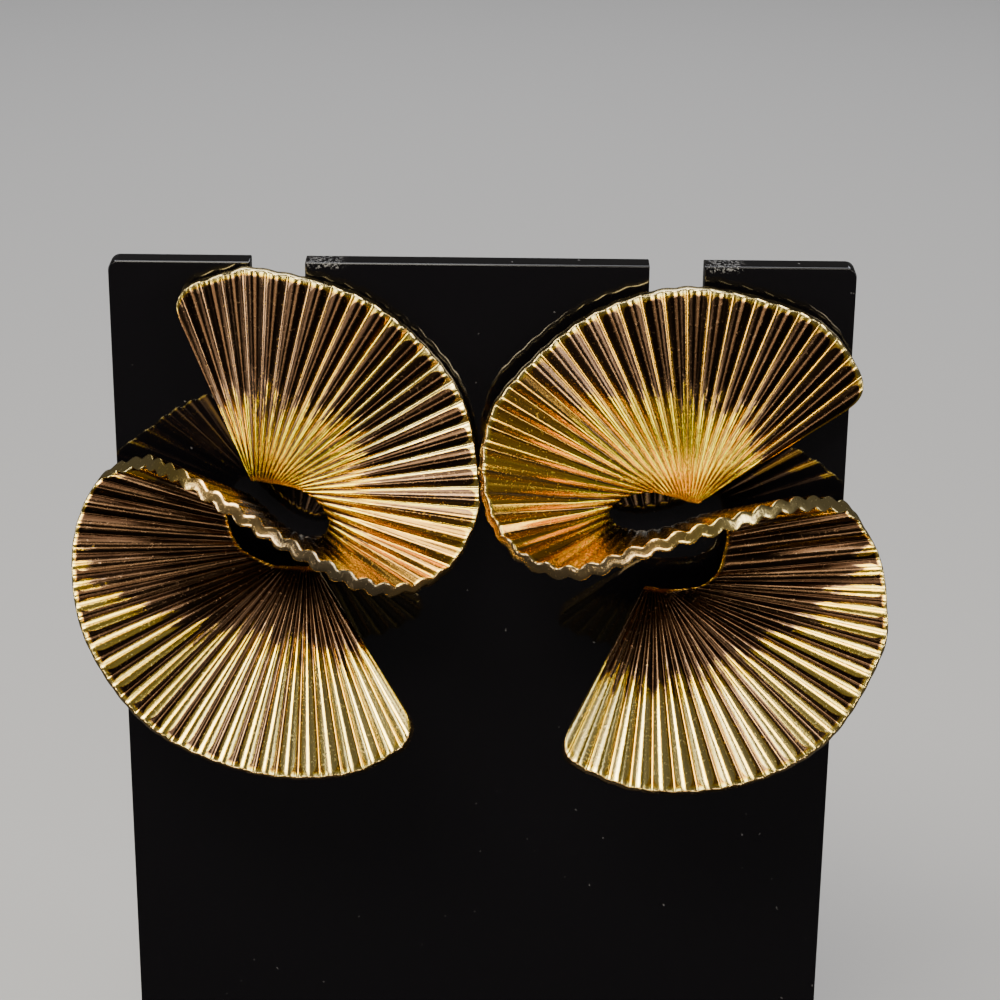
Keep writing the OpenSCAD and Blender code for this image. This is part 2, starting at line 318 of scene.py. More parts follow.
@dataclass(frozen=True)
class NodeBench:
    """Short ways to lay out a material's nodes."""

    material: bpy.types.Material

    @classmethod
    def new(cls, name: str) -> "NodeBench":
        """Start an empty material with its shader.

        Args:
            name: Name of the material.

        Returns:
            A bench for the new material.
        """
        material = bpy.data.materials.new(name)
        material.use_nodes = True
        return cls(material)

    @property
    def shader(self) -> bpy.types.Node:
        """The material's main shader."""
        return self.material.node_tree.nodes["Principled BSDF"]

    def node(self, kind: str, **settings: object) -> bpy.types.Node:
        """Add one node.

        Args:
            kind: Node type.
            settings: Values of the node's own settings.

        Returns:
            The new node.
        """
        made = self.material.node_tree.nodes.new(kind)
        for key, value in settings.items():
            setattr(made, key, value)
        return made

    def feed(self, socket: Socket, value: object) -> None:
        """Link a socket, or set its value.

        Args:
            socket: The input.
            value: An output socket, or a plain value.
        """
        if isinstance(value, Socket):
            self.material.node_tree.links.new(value, socket)
        else:
            socket.default_value = value

    def math(self, how: str, *values: object, clamp: bool = False) -> Socket:
        """Add one step of arithmetic.

        Args:
            how: Operation.
            values: Sockets or numbers.
            clamp: Whether to hold the result between 0 and 1.

        Returns:
            The result.
        """
        made = self.node("ShaderNodeMath", operation=how, use_clamp=clamp)
        for socket, value in zip(made.inputs, values):
            self.feed(socket, value)
        return made.outputs[0]

    def flip(self, value: object) -> Socket:
        """Return one less the value."""
        return self.math("SUBTRACT", 1.0, value)

    def lift(self, base: object, value: object, scale: float) -> Socket:
        """Return the base plus the scaled value."""
        return self.math("ADD", base, self.math("MULTIPLY", value, scale))

    def swing(self, pattern: object, size: object) -> Socket:
        """Turn a pattern from 0 to 1 into a swing of that size around zero."""
        return self.math("MULTIPLY", self.math("SUBTRACT", pattern, 0.5), size)

    def step(self, value: object, low: float, high: float) -> Socket:
        """Rise smoothly from 0 at low to 1 at high.

        Args:
            value: Socket to read.
            low: Value that gives 0.
            high: Value that gives 1.

        Returns:
            The smooth step.
        """
        made = self.node("ShaderNodeMapRange", interpolation_type="SMOOTHSTEP")
        self.feed(made.inputs["Value"], value)
        made.inputs["From Min"].default_value = low
        made.inputs["From Max"].default_value = high
        return made.outputs[0]

    def blend(self, share: object, a: object, b: object, mix: Mix = Mix.NUMBERS) -> Socket:
        """Mix two numbers or two colours.

        Args:
            share: Share of the second.
            a: First value.
            b: Second value.
            mix: What is mixed.

        Returns:
            The mix.
        """
        kind, first, second, output = mix.value
        made = self.node("ShaderNodeMix", data_type=kind)
        for slot, value in ((0, share), (first, a), (second, b)):
            self.feed(made.inputs[slot], value)
        return made.outputs[output]

    def value_of(self, name: str, output: str = "Fac") -> Socket:
        """Read one of the mesh's own attributes."""
        return self.node("ShaderNodeAttribute", attribute_name=name).outputs[output]

    def parts_of(self, vector: object) -> tuple[Socket, ...]:
        """Split a vector into its three numbers.

        Args:
            vector: The vector.

        Returns:
            The numbers' sockets.
        """
        made = self.node("ShaderNodeSeparateXYZ")
        self.feed(made.inputs[0], vector)
        return tuple(made.outputs)

    def stretched(self, parts: tuple[Socket, ...], scales: tuple[float, ...]) -> Socket:
        """Join numbers into a vector, each with a scale of its own.

        Args:
            parts: The numbers.
            scales: Scale of each number.

        Returns:
            The vector.
        """
        made = self.node("ShaderNodeCombineXYZ")
        for socket, part, scale in zip(made.inputs, parts, scales):
            self.feed(socket, self.math("MULTIPLY", part, scale))
        return made.outputs[0]

    def point(self) -> Socket:
        """The point's place on the object."""
        return self.node("ShaderNodeTexCoord").outputs["Object"]

    def noise(self, vector: object, scale: float, detail: float, rough: float = 0.6) -> Socket:
        """Add a noise pattern.

        Args:
            vector: Where the pattern is read.
            scale: Repeats in one unit.
            detail: Octaves.
            rough: Strength of the finer octaves.

        Returns:
            The noise, from 0 to 1.
        """
        made = self.node("ShaderNodeTexNoise")
        self.feed(made.inputs["Vector"], vector)
        made.inputs["Scale"].default_value = scale
        made.inputs["Detail"].default_value = detail
        made.inputs["Roughness"].default_value = rough
        return made.outputs["Fac"]

    def ramp(self, value: object, stops: tuple[ColourStop, ...]) -> Socket:
        """Colour a number by a list of stops.

        Args:
            value: Socket to read.
            stops: Place and colour of each stop.

        Returns:
            The colour.
        """
        made = self.node("ShaderNodeValToRGB")
        self.feed(made.inputs[0], value)
        marks = made.color_ramp.elements
        while len(marks) < len(stops):
            marks.new(0.5)
        for mark, (place, colour) in zip(marks, stops):
            mark.position = place
            mark.color = (*colour, 1.0)
        return made.outputs[0]

    def bump(self, height: object, depth: float, strength: float) -> Socket:
        """Turn a height into a normal.

        Args:
            height: Height pattern.
            depth: Depth of the pattern in metres.
            strength: Share of the bump that shows.

        Returns:
            The normal.
        """
        made = self.node("ShaderNodeBump")
        made.inputs["Strength"].default_value = strength
        made.inputs["Distance"].default_value = depth
        self.feed(made.inputs["Height"], height)
        return made.outputs[0]

    def dress(self, colour: object, rough: object, normal: object, metallic: float = 0.0) -> None:
        """Feed the main shader.

        Args:
            colour: Base colour.
            rough: Roughness.
            normal: Normal.
            metallic: 1 for metal, 0 for plastic.
        """
        looks = {"Base Color": colour, "Roughness": rough, "Normal": normal, "Metallic": metallic}
        for name, value in looks.items():
            self.feed(self.shader.inputs[name], value)


@dataclass(frozen=True)
class PlateMarks:
    """What the plating reads from the ribbon's mesh, its painted reflection tones among them, and the
    patterns laid over them.
    """

    pleat: Socket
    reach: Socket
    side: Socket
    limit: Socket
    ridge: list[Socket]
    furrow: list[Socket]
    wall: Socket
    streak: Socket
    jag: Socket
    speck: Socket
    cloud: Socket


@dataclass(frozen=True)
class FlutedGold:
    """Polished gold plate on pleats with painted reflections: painted highlights where bright, painted dark
    reflections in the furrows and outer zones.

    Widths are shares of a pleat, reaches are shares of the way from hub to rim, and tones run from 0,
    painted dark reflection, to 1, painted highlight.
    """

    hub_highlights: tuple[Colour, Colour]

    # Patterns: streaks along a pleat, the zones' jagged limit, specks and clouds
    streak_stretch: Triple = (9.0, 2.2, 7.0)
    jag_stretch: tuple[float, float] = (2.1, 5.0)
    speck_scale: float = 3600.0
    cloud_scale: float = 260.0

    # Ridges and furrows
    back_band: Span = (0.1, 0.3)
    ridge_width: float = 0.82
    narrow_ridge_width: float = 0.58
    hub_ridge_width: float = 0.56
    narrow_contrast: Span = (0.4, 0.75)
    tip_start: float = 0.92
    tip_end: float = 0.985
    edge_wander: float = 0.14
    edge_blur: Span = (-0.05, 0.09)

    # Tones: painted reflections and highlights, with streaks, clouds and specks
    limit_shift: float = 0.60
    limit_blur: Span = (-0.10, 0.10)
    crest_line: Span = (0.03, 0.13)
    crest_tones: Span = (0.55, 0.9)
    crest_drop: float = 0.26
    streak_swing: Span = (0.08, 0.40)
    cloud_swing: float = 0.16
    speck_limits: Span = (0.60, 0.72)
    speck_lift: float = 0.14
    highlight_tone: float = 0.95
    lip_highlight_reach: Span = (0.965, 0.990)
    hub_edge_reach: Span = (0.01, 0.035)
    hub_edge_share: float = 0.55
    wall_grain: float = 0.5
    wall_band: Span = (0.2, 0.4)

    # Colours of the painted reflections, from painted dark reflection to painted highlight
    dark_reflection_to_highlight: tuple[ColourStop, ...] = (
        (0.00, (0.018, 0.008, 0.004)),
        (0.18, (0.048, 0.026, 0.013)),
        (0.36, (0.21, 0.122, 0.065)),
        (0.45, (0.46, 0.240, 0.040)),
        (0.58, (0.84, 0.43, 0.040)),
        (0.76, (1.00, 0.69, 0.052)),
        (1.00, (1.00, 0.79, 0.29)),
    )
    # Painted highlight beside the hub
    hub_highlight_reach: Span = (0.10, 0.50)
    hub_highlight_tones: Span = (0.36, 0.54)
    hub_highlight_share: float = 0.85
    wall_highlight: Colour = (0.95, 0.74, 0.42, 1.0)
    wall_highlight_share: float = 0.40

    # Gloss and fine relief
    roughness: float = 0.16
    streak_roughness: float = 0.10
    speck_roughness: float = 0.12
    relief_streak_share: float = 0.6
    relief_depth: float = 0.04 * MM
    relief_strength: float = 0.4

    def read_marks(self, bench: NodeBench) -> PlateMarks:
        """Read the ribbon's own marks and lay out the patterns.

        Args:
            bench: Where the nodes go.

        Returns:
            The marks and patterns.
        """
        pleat, reach, side = (bench.value_of(name) for name in NUMBER_MARKS)
        tones = (bench.parts_of(bench.value_of(name, "Vector")) for name in VECTOR_MARKS)
        (limit, *ridge), (wall, *furrow) = tones
        place = bench.point()
        lane = bench.stretched((pleat, reach, side), self.streak_stretch)
        wide_lane = bench.stretched((pleat, reach), self.jag_stretch)
        streak = bench.noise(lane, scale=1.0, detail=3.0)
        jag = bench.noise(wide_lane, scale=1.0, detail=3.0)
        speck = bench.noise(place, self.speck_scale, detail=2.0)
        cloud = bench.noise(place, self.cloud_scale, detail=4.0)
        return PlateMarks(pleat, reach, side, limit, ridge, furrow, wall, streak, jag, speck, cloud)

    def ridge_share(self, bench: NodeBench, marks: PlateMarks) -> Socket:
        """Find how wide the painted reflection band of the ridges is, with round tips before the rim.

        Args:
            bench: Where the nodes go.
            marks: The ribbon's marks.

        Returns:
            Width of the ridge as a share of the pleat.
        """
        tip = bench.math("SUBTRACT", marks.reach, self.tip_start)
        tip = bench.math("DIVIDE", tip, self.tip_end - self.tip_start, clamp=True)
        tip = bench.math("SQRT", bench.flip(bench.math("POWER", tip, 2.0)))
        contrast = bench.math("SUBTRACT", marks.ridge[1], marks.furrow[1])
        contrast = bench.step(contrast, *self.narrow_contrast)
        rim_width = bench.blend(contrast, self.ridge_width, self.narrow_ridge_width)
        return bench.math("MULTIPLY", tip, bench.blend(marks.reach, self.hub_ridge_width, rim_width))

    def pleat_tone(self, bench: NodeBench, marks: PlateMarks, outer: Socket) -> Socket:
        """Lay the painted reflection tone of ridges and furrows, with streaks, clouds and specks.

        Args:
            bench: Where the nodes go.
            marks: The ribbon's marks.
            outer: Share of the zone beside the rim.

        Returns:
            The tone of the fluted faces.
        """
        # 0 on a ridge's crest, 1 in the furrow
        across = bench.math("MULTIPLY", bench.math("PINGPONG", marks.pleat, 0.5), 2.0)
        on_back = bench.flip(bench.step(marks.side, *self.back_band))
        across = bench.blend(on_back, across, bench.flip(across))
        wander = bench.swing(marks.streak, self.edge_wander)
        edge = bench.math("SUBTRACT", across, self.ridge_share(bench, marks))
        in_furrow = bench.step(bench.math("ADD", edge, wander), *self.edge_blur)
        tone = bench.blend(in_furrow, bench.blend(outer, *marks.ridge), bench.blend(outer, *marks.furrow))

        # A thin darker line painted along the crest of bright ridges, part of the painted reflection
        crest = bench.flip(bench.step(bench.math("ADD", across, wander), *self.crest_line))
        crest = bench.math("MULTIPLY", crest, bench.step(tone, *self.crest_tones))
        tone = bench.math("SUBTRACT", tone, bench.math("MULTIPLY", crest, self.crest_drop))

        streak_swing = bench.blend(marks.reach, *self.streak_swing)
        tone = bench.math("ADD", tone, bench.swing(marks.streak, streak_swing))
        return bench.math("ADD", tone, bench.swing(marks.cloud, self.cloud_swing))

    def make(self) -> bpy.types.Material:
        """Build the plating.

        Returns:
            The material.
        """
        bench = NodeBench.new("gold_plate_fluted")
        marks = self.read_marks(bench)

        # Jagged limit between the painted reflection zones beside the hub and the rim
        ragged = bench.math("ADD", marks.reach, bench.swing(marks.jag, self.limit_shift))
        outer = bench.step(bench.math("SUBTRACT", ragged, marks.limit), *self.limit_blur)
        tone = self.pleat_tone(bench, marks, outer)
        spots = bench.step(marks.speck, *self.speck_limits)
        tone = bench.lift(tone, spots, self.speck_lift)

        # Painted highlight: bright gold over the zone beside the hub, where its tone is high
        hub_highlight_mask = bench.math("MULTIPLY", bench.flip(outer), bench.step(tone, *self.hub_highlight_tones))

        # A painted highlight along the lip of the rim, and along the hub's edge
        tone = bench.blend(bench.step(marks.reach, *self.lip_highlight_reach), tone, self.highlight_tone)
        hub_edge = bench.flip(bench.step(marks.reach, *self.hub_edge_reach))
        tone = bench.blend(bench.math("MULTIPLY", hub_edge, self.hub_edge_share), tone, self.highlight_tone)

        # Rim wall: painted reflection tone, later mixed with a painted highlight colour
        wall_tone = bench.math("ADD", marks.wall, bench.swing(marks.cloud, self.wall_grain))
        from_wall = bench.math("ABSOLUTE", bench.math("SUBTRACT", marks.side, Surface.WALL.value))
        on_wall = bench.flip(bench.step(from_wall, *self.wall_band))
        tone = bench.blend(on_wall, tone, wall_tone)

        # Tone to colour: painted dark reflections up to painted highlights
        colour = bench.ramp(tone, self.dark_reflection_to_highlight)
        hub_highlight_colour = bench.blend(bench.step(marks.reach, *self.hub_highlight_reach), *self.hub_highlights, Mix.COLOURS)
        hub_highlight_mix = bench.math("MULTIPLY", hub_highlight_mask, self.hub_highlight_share)
        colour = bench.blend(hub_highlight_mix, colour, hub_highlight_colour, Mix.COLOURS)
        # Painted highlight colour laid on the rim wall
        wall_share = bench.math("MULTIPLY", on_wall, self.wall_highlight_share)
        colour = bench.blend(wall_share, colour, self.wall_highlight, Mix.COLOURS)

        rough = bench.lift(self.roughness, marks.streak, self.streak_roughness)
        rough = bench.lift(rough, spots, self.speck_roughness)
        relief = bench.math("MULTIPLY", marks.streak, self.relief_streak_share)
        relief = bench.lift(relief, marks.speck, 1.0 - self.relief_streak_share)
        bench.dress(colour, rough, bench.bump(relief, self.relief_depth, self.relief_strength), metallic=1.0)
        return bench.material


@dataclass(frozen=True)
class SatinGold:
    """Plain satin gold plate of the clips."""

    cloud_scale: float = 180.0
    grain_scale: float = 900.0
    colours: tuple[ColourStop, ...] = ((0.25, (0.62, 0.40, 0.15)), (0.75, (0.90, 0.66, 0.30)))
    roughness: float = 0.24
    grain_roughness: float = 0.2
    relief_depth: float = 0.03 * MM

    def make(self) -> bpy.types.Material:
        """Build the plating.

        Returns:
            The material.
        """
        bench = NodeBench.new("gold_plate_satin")
        place = bench.point()
        grain = bench.noise(place, self.grain_scale, detail=4.0)
        clouds = bench.noise(place, self.cloud_scale, detail=3.0, rough=0.5)
        colour = bench.ramp(clouds, self.colours)
        rough = bench.lift(self.roughness, grain, self.grain_roughness)
        relief = bench.bump(grain, self.relief_depth, strength=0.5)
        bench.dress(colour, rough, relief, metallic=1.0)
        return bench.material


@dataclass(frozen=True)
class BlackAcrylic:
    """Gloss black acrylic with a little dust, and chips along the top edge beside the notches."""

    scuff_sides: tuple[float, ...] = ()
    scuff_reach: float = 1.9 * MM
    scuff_depth: Span = (0.60 * MM, 0.35 * MM)
    chip_scale: float = 3400.0
    chip_limits: Span = (0.53, 0.59)
    dust_scale: float = 1500.0
    dust_limits: Span = (0.735, 0.80)
    wear_share: float = 0.30
    haze_scale: float = 45.0
    haze_limits: Span = (0.45, 0.8)
    black: Colour = (0.0035, 0.0030, 0.0038, 1.0)
    worn: Colour = (0.50, 0.48, 0.46, 1.0)
    roughness: float = 0.035
    haze_roughness: float = 0.06
    wear_roughness: float = 0.5
    relief_depth: float = 0.02 * MM
    refraction: float = 1.56

    def scuffs(self, bench: NodeBench, wear: object) -> Socket:
        """Add the chips along the top edge.

        Args:
            bench: Where the nodes go.
            wear: Wear so far.

        Returns:
            The wear with the chips.
        """
        if not self.scuff_sides:
            return wear
        place = bench.point()
        side, _, up = bench.parts_of(place)
        chips = bench.noise(place, self.chip_scale, detail=3.0, rough=0.7)
        chips = bench.step(chips, *self.chip_limits)
        low, high = (PANEL_TOP - depth for depth in self.scuff_depth)
        near_top = bench.step(up, low, high)
        for centre in self.scuff_sides:
            away = bench.math("ABSOLUTE", bench.math("SUBTRACT", side, centre))
            here = bench.flip(bench.step(away, 0.5 * self.scuff_reach, self.scuff_reach))
            patch = bench.math("MULTIPLY", bench.math("MULTIPLY", here, near_top), chips)
            wear = bench.math("ADD", wear, bench.math("MULTIPLY", patch, self.wear_share), clamp=True)
        return wear

    def make(self) -> bpy.types.Material:
        """Build the acrylic.

        Returns:
            The material.
        """
        bench = NodeBench.new("black_acrylic" + ("_scuffed" if self.scuff_sides else ""))
        place = bench.point()
        dust = bench.noise(place, self.dust_scale, detail=2.0, rough=0.5)
        dust = bench.step(dust, *self.dust_limits)
        haze = bench.noise(place, self.haze_scale, detail=5.0, rough=0.62)
        wear = self.scuffs(bench, bench.math("MULTIPLY", dust, self.wear_share))
        rough = bench.lift(self.roughness, bench.step(haze, *self.haze_limits), self.haze_roughness)
        rough = bench.lift(rough, wear, self.wear_roughness)
        colour = bench.blend(wear, self.black, self.worn, Mix.COLOURS)
        relief = bench.bump(bench.math("ADD", haze, wear), self.relief_depth, strength=0.3)
        bench.dress(colour, rough, relief)
        bench.shader.inputs["IOR"].default_value = self.refraction
        return bench.material


# Earrings


@dataclass
class PleatedRibbon:
    """One earring: a fluted ribbon bent into an S.

    Lengths are in millimetres until the mesh's points are placed.
    """

    side: Side
    stations: tuple[Station, ...]
    # Painted reflection tones along the rim
    tones: tuple[ReflectionToneRow, ...]
    pleats: int
    hub_side: float
    hub_drop: float
    fan_reach: float = 18.0
    rim_thickness: float = 0.9
    hub_thickness: float = 0.6
    pleat_depth: float = 0.25
    hub_pleat_share: float = 0.3
    facing_share: float = 0.35
    end_corner: float = 2.2
    fan_gap: float = 0.2
    columns_per_pleat: int = 14
    samples_per_station: int = 12
    edge_radius: float = 0.13
    hub_edge_share: float = 0.6
    hub_corner_inset: float = 0.15
    furrow_softness: float = 0.25
    chord: float = 0.01
    weld: float = 1e-8
    crease_angle: float = math.radians(62)
    bend: tuple[float, ...] = (0.25, 0.5, 0.75)
    wall_rises: tuple[float, ...] = (0.66, 0.34)
    steps: tuple[float, ...] = (0.0, 0.05, 0.12, 0.22, 0.34, 0.46, 0.58, 0.70, 0.80, 0.88, 0.94, 0.975, 1.0)
    rim: list[Vector] = field(default_factory=list)
    hub_line: list[Vector] = field(default_factory=list)
    lengths: list[float] = field(default_factory=list)

    @property
    def name(self) -> str:
        """Name of the node that the ribbon stands for."""
        return f"{self.side.value}_fan"

    def end_point(self, shares: Triple) -> Vector:
        """Place one end of a station's pleat.

        Args:
            shares: How far to the side, out and up, as shares of the reach.

        Returns:
            The point in millimetres, from the hub's centre.
        """
        standoff = self.fan_gap + self.rim_thickness / 2 + self.pleat_depth
        side, out, up = (share * self.fan_reach for share in shares)
        return Vector((side, -standoff - out, up))

    @staticmethod
    def curve_at(points: list[Vector], u: float) -> Vector:
        """Read a smooth curve through a list of points.

        Args:
            points: The points.
            u: Place along the list, in points.

        Returns:
            The curve's point.
        """
        i = min(int(u), len(points) - 2)
        t = u - i
        b, c = points[i], points[i + 1]
        a = points[i - 1] if i > 0 else 2 * b - c
        d = points[i + 2] if i + 2 < len(points) else 2 * c - b
        return (
            b
            + t * (c - a) / 2
            + t * t * (a - 2.5 * b + 2 * c - d / 2)
            + t**3 * (3 * (b - c) + d - a) / 2
        )

    def curve_along(self, points: list[Vector], u: float) -> Vector:
        """Return a short chord, which shows the way that a curve runs at place u."""
        low, high = max(u - self.chord, 0.0), min(u + self.chord, len(points) - 1.0)
        return self.curve_at(points, high) - self.curve_at(points, low)

    def measure(self) -> None:
        """Lay out the two curves and the rim's length along its samples."""
        self.hub_line = [self.end_point(row[:3]) for row in self.stations]
        self.rim = [self.end_point(row[3:]) for row in self.stations]
        count = (len(self.rim) - 1) * self.samples_per_station
        spots = [self.curve_at(self.rim, k / self.samples_per_station) for k in range(count + 1)]
        self.lengths = [0.0]
        for a, b in zip(spots, spots[1:]):
            self.lengths.append(self.lengths[-1] + (b - a).length)

    def place_of(self, length: float) -> float:
        """Find the place on the rim's list at a length along it.

        Args:
            length: Length from the first end.

        Returns:
            The place, in stations.
        """
        for k, (low, high) in enumerate(zip(self.lengths, self.lengths[1:])):
            if length <= high:
                return (k + (length - low) / (high - low)) / self.samples_per_station
        return float(len(self.rim) - 1)

    def corner_cut(self, s: float) -> float:
        """Find how far a round corner cuts the pleat back.

        Args:
            s: Distance from the ribbon's end, along the rim.

        Returns:
            The cut in millimetres.
        """
        if s >= self.end_corner:
            return 0.0
        return self.end_corner - math.sqrt(self.end_corner**2 - (self.end_corner - s) ** 2)

    def heights(self, turn: float, v: float) -> tuple[float, float]:
        """Heights of the front and the back over the sheet's middle.

        Args:
            turn: Angle through the pleat.
            v: Share of the way from hub to rim.

        Returns:
            Front and back heights in millimetres.
        """
        thick = between(self.hub_thickness, self.rim_thickness, v)
        deep = self.pleat_depth * between(self.hub_pleat_share, 1.0, v)
        soft = self.furrow_softness
        front = 2 * math.sqrt(math.cos(turn / 2) ** 2 + soft**2) - 1
        back = 2 * math.sqrt(math.sin(turn / 2) ** 2 + soft**2) - 1
        top = 2 * math.sqrt(1 + soft**2) - 1
        return thick / 2 + deep * front / top, -thick / 2 - deep * back / top

    def section(self) -> list[tuple[float, float, Surface]]:
        """List the closed section: share along the pleat, share from back to front, and its surface.

        Returns:
            Rows of run, rise and surface. A run below 0 or above 1 is on a rounded edge.
        """
        rows = [(run, 1.0, Surface.FRONT) for run in self.steps]
        rows += [(1.0 + share, 1.0, Surface.WALL) for share in self.bend]
        rows += [(RIM_WALL, rise, Surface.WALL) for rise in self.wall_rises]
        rows += [(1.0 + share, 0.0, Surface.WALL) for share in reversed(self.bend)]
        rows += [(run, 0.0, Surface.BACK) for run in reversed(self.steps)]
        rows += [(HUB_CORNER, 0.0, Surface.BACK), (HUB_MIDDLE, 0.5, Surface.FRONT)]
        rows += [(HUB_CORNER, 1.0, Surface.FRONT)]
        return rows

    def section_point(
        self, run: float, rise: float, length: float, end: float, turn: float
    ) -> tuple[float, float, float]:
        """Place one point of the section.

        Args:
            run: Share along the pleat, as section() gives it.
            rise: Share from back to front.
            length: Full length of this pleat.
            end: Share of the length that a round corner leaves.
            turn: Angle through the pleat.

        Returns:
            Distance from the hub, height over the middle, and share along the pleat.
        """
        edge = self.edge_radius
        last = length * end
        hub_edge = self.hub_edge_share * edge
        if run > 1.0:
            angle = (run - 1.0) * math.pi / 2
            front, back = self.heights(turn, end)
            along = last - edge + edge * math.sin(angle)
            drop = edge * (1 - math.cos(angle))
            if run >= RIM_WALL:
                return last, between(back + edge, front - edge, rise), end
            return along, (front - drop if rise > 0.5 else back + drop), end
        if run < 0.0:
            front, back = self.heights(turn, 0.0)
            if run <= HUB_MIDDLE:
                return 0.0, (front + back) / 2, 0.0
            height = front - hub_edge / 2 if rise > 0.5 else back + hub_edge / 2
            return self.hub_corner_inset * hub_edge, height, 0.0
        along = between(hub_edge, last - edge, run)
        front, back = self.heights(turn, along / length)
        return along, (front if rise > 0.5 else back), along / length

    def lay_sheet(self) -> Piece:
        """Add the flat grid that the ribbon is wrapped from.

        Returns:
            The flat grid.
        """
        deselect()
        bpy.ops.mesh.primitive_grid_add(
            x_subdivisions=self.pleats * self.columns_per_pleat,
            y_subdivisions=len(self.section()),
            size=1.0,
        )
        piece = bpy.context.object
        piece.name = f"{self.name}_fluted"
        return piece

    def wrap(self, piece: Piece) -> None:
        """Wrap the grid into a closed section and bend it through the stations.

        Args:
            piece: The flat grid.
        """
        self.measure()
        rows = self.section()
        columns = self.pleats * self.columns_per_pleat
        total = self.lengths[-1]
        mesh = piece.data
        stride = columns + 1
        for name in NUMBER_MARKS:
            mesh.attributes.new(name, "FLOAT", "POINT")
        for name in VECTOR_MARKS:
            mesh.attributes.new(name, "FLOAT_VECTOR", "POINT")
        pleat, reach, side = (mesh.attributes[name].data for name in NUMBER_MARKS)
        ridge, furrow = (mesh.attributes[name].data for name in VECTOR_MARKS)
        offset = Vector((self.hub_side, 0.0, PANEL_TOP / MM - self.hub_drop))
        for k in range(stride):
            s = total * k / columns
            u = self.place_of(s)
            start, stop = self.curve_at(self.hub_line, u), self.curve_at(self.rim, u)
            length = (stop - start).length
            end = 1 - self.corner_cut(min(s, total - s)) / length
            along_hub, along_rim = self.curve_along(self.hub_line, u), self.curve_along(self.rim, u)
            turn = 2 * math.pi * k / self.columns_per_pleat
            # Painted reflection tones of this column, read from the table
            tone = self.reflection_tone_at(k / columns)
            # The last row repeats the first, which closes the section
            for j in range(len(rows) + 1):
                run, rise, surface = rows[j % len(rows)]
                along, height, v = self.section_point(run, rise, length, end, turn)
                way = along_hub.lerp(along_rim, max(v, self.facing_share))
                facing = way.cross(stop - start).normalized()
                spot = start.lerp(stop, along / length) + facing * height + offset
                index = j * stride + k
                mesh.vertices[index].co = spot * MM
                pleat[index].value = k / self.columns_per_pleat
                reach[index].value = along / (length * end)
                side[index].value = surface.value
                ridge[index].vector = tone[:3]
                furrow[index].vector = (tone[5], *tone[3:5])

    def reflection_tone_at(self, share: float) -> tuple[float, ...]:
        """Read the table of painted reflection tones.

        Args:
            share: Share of the rim's length.

        Returns:
            Limit, ridge inner, ridge outer, furrow inner, furrow outer and wall.
        """
        for low, high in zip(self.tones, self.tones[1:]):
            if share <= high[0]:
                t = (share - low[0]) / (high[0] - low[0])
                return tuple(between(a, b, t) for a, b in zip(low[1:], high[1:]))
        return self.tones[-1][1:]

    def close(self, piece: Piece) -> None:
        """Close the seam along the hub and fill the two ends.

        Args:
            piece: The wrapped grid.
        """
        make_active(piece)
        bpy.ops.object.mode_set(mode="EDIT")
        bpy.ops.mesh.select_all(action="SELECT")
        bpy.ops.mesh.remove_doubles(threshold=self.weld)
        bpy.ops.mesh.select_all(action="DESELECT")
        bpy.ops.mesh.select_mode(type="EDGE")
        bpy.ops.mesh.select_non_manifold(extend=False)
        bpy.ops.mesh.fill()
        bpy.ops.mesh.select_all(action="SELECT")
        bpy.ops.mesh.normals_make_consistent(inside=False)
        bpy.ops.object.mode_set(mode="OBJECT")
        bpy.ops.object.shade_smooth_by_angle(angle=self.crease_angle)

    def build(self, finish: FlutedGold) -> Piece:
        """Make the ribbon and dress it.

        Args:
            finish: The plating.

        Returns:
            The finished ribbon.
        """
        piece = self.lay_sheet()
        self.wrap(piece)
        self.close(piece)
        piece.data.materials.append(finish.make())
        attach(piece, "root")
        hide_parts(self.name)
        return piece


@dataclass
class Clip:
    """The plain fastening behind one earring: a bar through the notch and a paddle behind the panel."""

    side: Side
    bar_height: float = 3.0 * MM
    paddle_thickness: float = 1.2 * MM
    paddle_width: float = 8.0 * MM
    bar_width: float = 3.8 * MM
    round_share: float = 0.49
    edge: float = 0.14 * MM

    def build(self, finish: SatinGold) -> Piece:
        """Make the clip in the space that its solid holds.

        Args:
            finish: The plating.

        Returns:
            The finished clip.
        """
        node = f"{self.side.value}_clip"
        low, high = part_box(node)
        middle = (low.x + high.x) / 2
        paddle = block(f"{node}_body", Vector((low.x, high.y - self.paddle_thickness, low.z)), high)
        round_corners(paddle, 1, self.round_share * self.paddle_width)
        bar = block(
            f"{node}_bar",
            Vector((middle - self.bar_width / 2, low.y, high.z - self.bar_height)),
            Vector((middle + self.bar_width / 2, high.y - self.paddle_thickness / 2, high.z)),
        )
        combine(paddle, bar, Join.ADD)
        round_edges(paddle, self.edge)
        paddle.data.materials.append(finish.make())
        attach(paddle, "root")
        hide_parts(node)
        return paddle


# Stand


